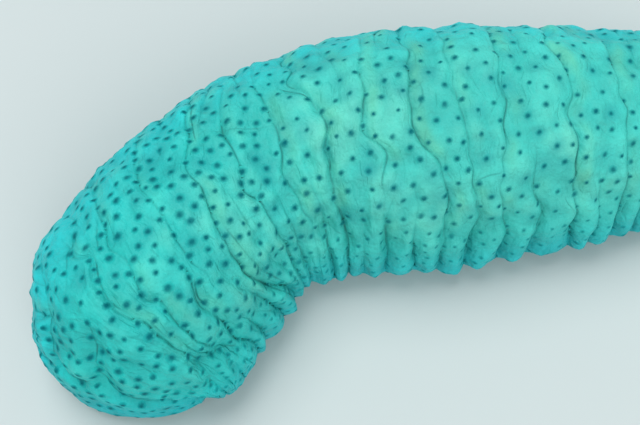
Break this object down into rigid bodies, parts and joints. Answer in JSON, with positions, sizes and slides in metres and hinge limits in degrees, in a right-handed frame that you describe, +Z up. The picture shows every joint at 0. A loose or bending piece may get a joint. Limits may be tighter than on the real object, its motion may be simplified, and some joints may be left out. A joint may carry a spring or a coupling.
{
  "type": "sea cucumber",
  "caption": "Large sea cucumber lying on its sole, front end bent to one side, with transverse folds, tube feet, mouth tentacles below and a vent behind.",
  "frame": {"origin": "on the floor, at the flat end of the tube foot under the middle of the body", "axes": "+Z up; +X along the straight length of the trunk, towards the vent; the head lies towards -X and -Y"},
  "size_m": [0.399, 0.2038, 0.0895],
  "materials": {
    "body_wall": null,
    "papillae": "small dark spots with soft edges",
    "tentacles": "moist, dark"
  },
  "bodies": {
    "root": {"head_end": "body_wall", "trunk_front": "body_wall", "trunk_middle": "body_wall", "trunk_rear": "body_wall", "tail_end": "body_wall", "tentacle_crown": "tentacles"}
  },
  "joints": []
}
